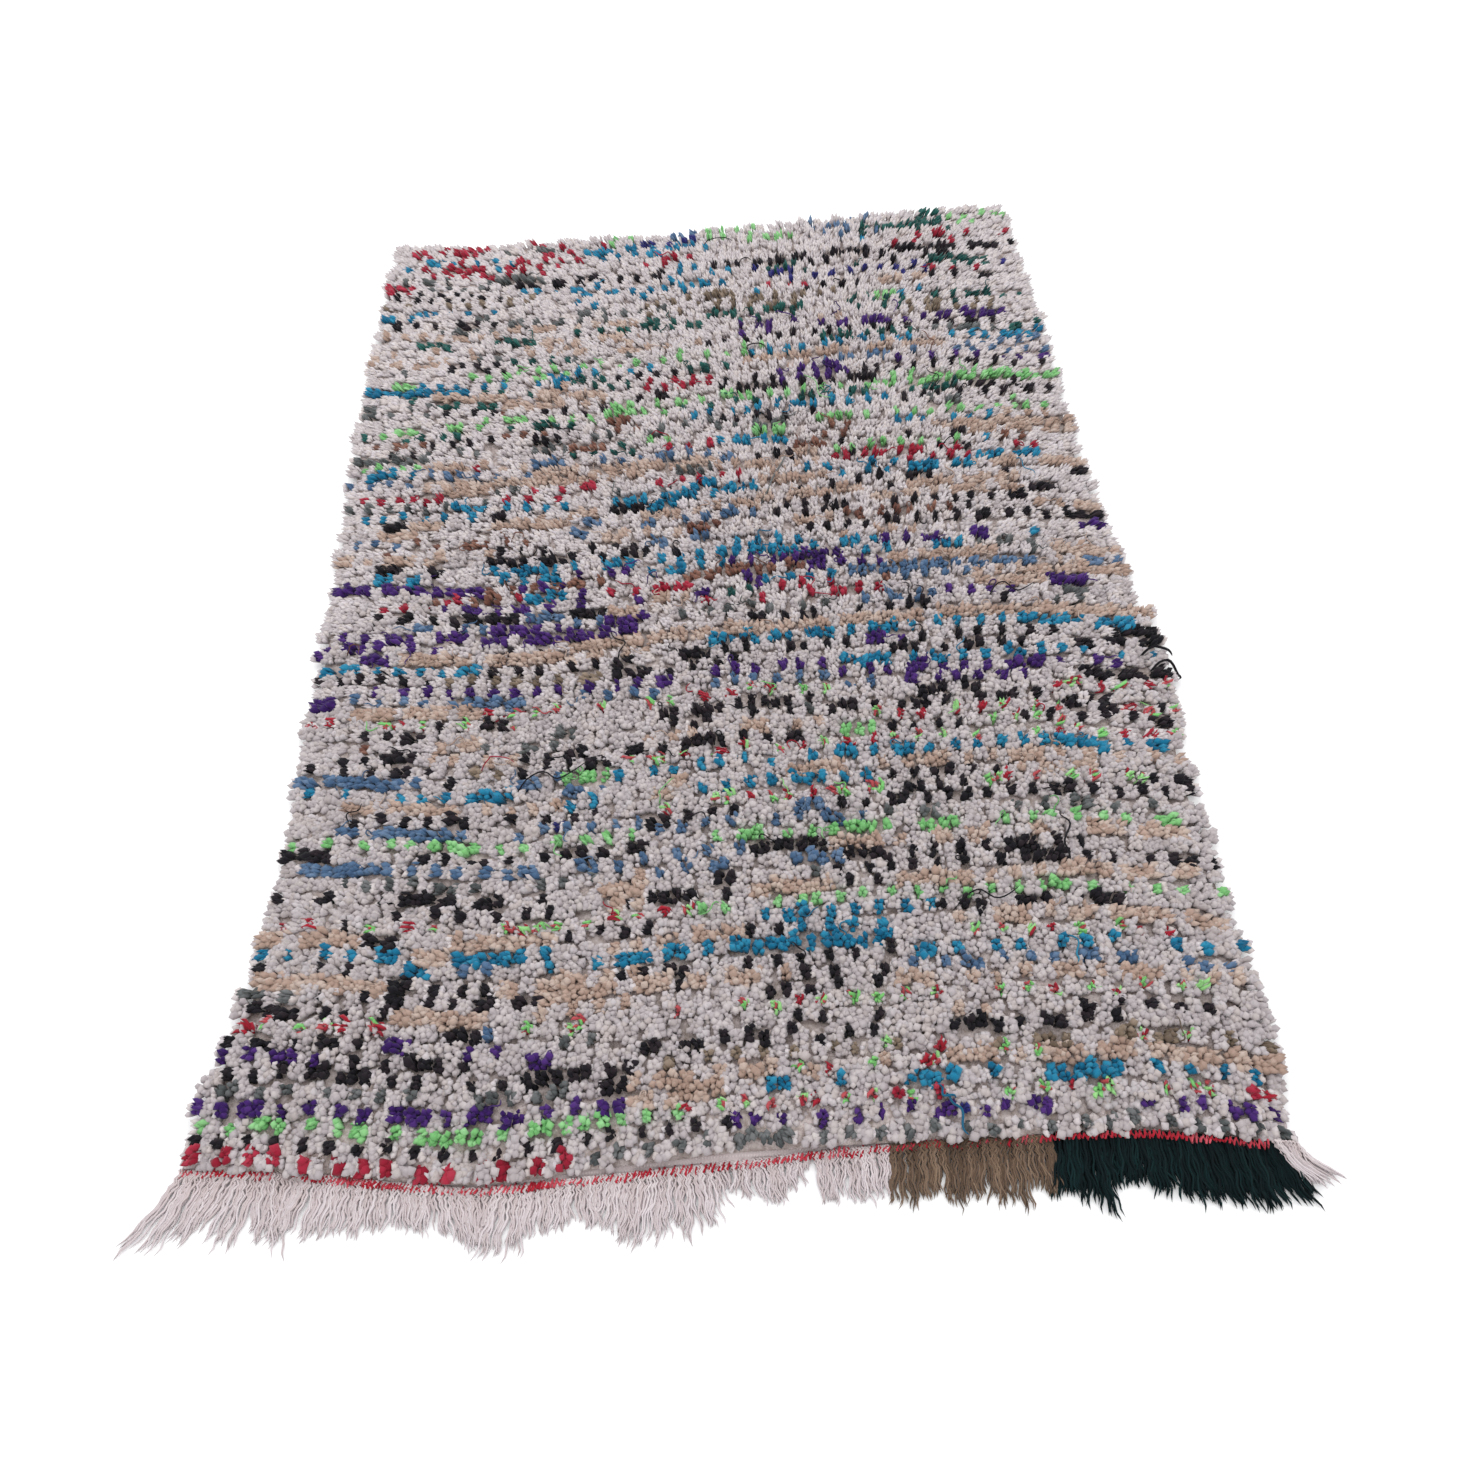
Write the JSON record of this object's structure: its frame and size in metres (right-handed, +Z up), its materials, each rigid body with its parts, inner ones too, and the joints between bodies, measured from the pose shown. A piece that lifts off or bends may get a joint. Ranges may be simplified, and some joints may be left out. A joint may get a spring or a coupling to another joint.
{
  "type": "azilal rug",
  "caption": "Long-pile knotted wool rug lying flat, with rows of mixed yarn colours on a pale ground, a soft lengthwise fold, a red twined row and uneven fringe along one hem.",
  "frame": {"origin": "middle of the rug's box, on the surface it lies on", "axes": "+X across the rug, +Y from the fringed hem to the far edge, +Z up out of the pile"},
  "size_m": [1.599, 2.4478, 0.0435],
  "materials": {
    "pile_wool": "shaggy matt wool",
    "red_yarn": "matt twisted yarn",
    "cream_warp": "matt twisted warp yarn",
    "brown_warp": "matt twisted warp yarn",
    "dark_green_warp": "matt twisted warp yarn"
  },
  "bodies": {
    "root": {"rug_pile": "pile_wool", "twined_row": "red_yarn", "fringe_cream_left": "cream_warp", "fringe_cream_middle": "cream_warp", "fringe_pale": "cream_warp", "fringe_corner": "cream_warp", "fringe_brown": "brown_warp", "fringe_dark_green": "dark_green_warp"}
  },
  "joints": []
}
